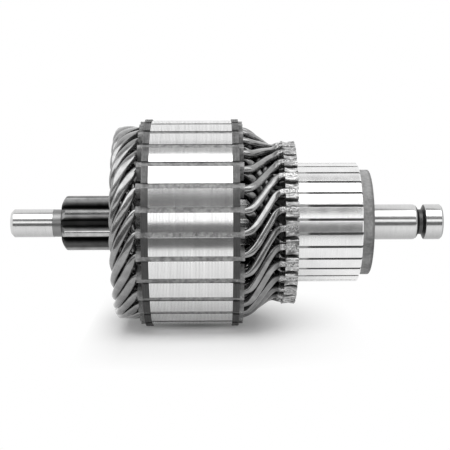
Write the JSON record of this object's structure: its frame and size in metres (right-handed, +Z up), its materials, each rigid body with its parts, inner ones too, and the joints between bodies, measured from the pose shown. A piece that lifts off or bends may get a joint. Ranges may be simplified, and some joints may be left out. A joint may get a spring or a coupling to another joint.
{
  "type": "motor armature",
  "caption": "Wound armature of a geared starter motor: slotted core with hairpin coils, commutator with staked risers, and a shaft with a pinion and two bearing journals.",
  "frame": {"origin": "centre of the armature's box, on the shaft's axis", "axes": "+X along the shaft towards the commutator end, +Z up as it lies, +Y away from the viewer"},
  "size_m": [0.1604, 0.077, 0.077],
  "materials": {
    "shaft_steel": "ground and polished journals, darker gear",
    "core_steel": "turned sheet edges",
    "end_plate_fibre": "varnished fibre board",
    "liner_paper": "varnished insulating paper",
    "winding_wire": "glossy dark enamel on copper",
    "commutator_copper": "fine turned and bright",
    "mica": "undercut insulation",
    "moulding": "speckled moulding compound"
  },
  "bodies": {
    "root": {"shaft": "shaft_steel", "lamination_stack": "core_steel", "end_plate_pinion_side": "end_plate_fibre", "end_plate_commutator_side": "end_plate_fibre", "slot_liners": "liner_paper", "mica_segments": "mica", "commutator_moulding": "moulding", "coil_01": "winding_wire", "coil_02": "winding_wire", "coil_03": "winding_wire", "coil_04": "winding_wire", "coil_05": "winding_wire", "coil_06": "winding_wire", "coil_07": "winding_wire", "coil_08": "winding_wire", "coil_09": "winding_wire", "coil_10": "winding_wire", "coil_11": "winding_wire", "coil_12": "winding_wire", "coil_13": "winding_wire", "coil_14": "winding_wire", "coil_15": "winding_wire", "coil_16": "winding_wire", "coil_17": "winding_wire", "coil_18": "winding_wire", "coil_19": "winding_wire", "coil_20": "winding_wire", "coil_21": "winding_wire", "coil_22": "winding_wire", "coil_23": "winding_wire", "coil_24": "winding_wire", "coil_25": "winding_wire", "coil_26": "winding_wire", "coil_27": "winding_wire", "coil_28": "winding_wire", "commutator_bars_01": "commutator_copper", "commutator_bars_02": "commutator_copper", "commutator_bars_03": "commutator_copper", "commutator_bars_04": "commutator_copper", "commutator_bars_05": "commutator_copper", "commutator_bars_06": "commutator_copper", "commutator_bars_07": "commutator_copper", "commutator_bars_08": "commutator_copper", "commutator_bars_09": "commutator_copper", "commutator_bars_10": "commutator_copper", "commutator_bars_11": "commutator_copper", "commutator_bars_12": "commutator_copper", "commutator_bars_13": "commutator_copper", "commutator_bars_14": "commutator_copper"}
  },
  "joints": []
}
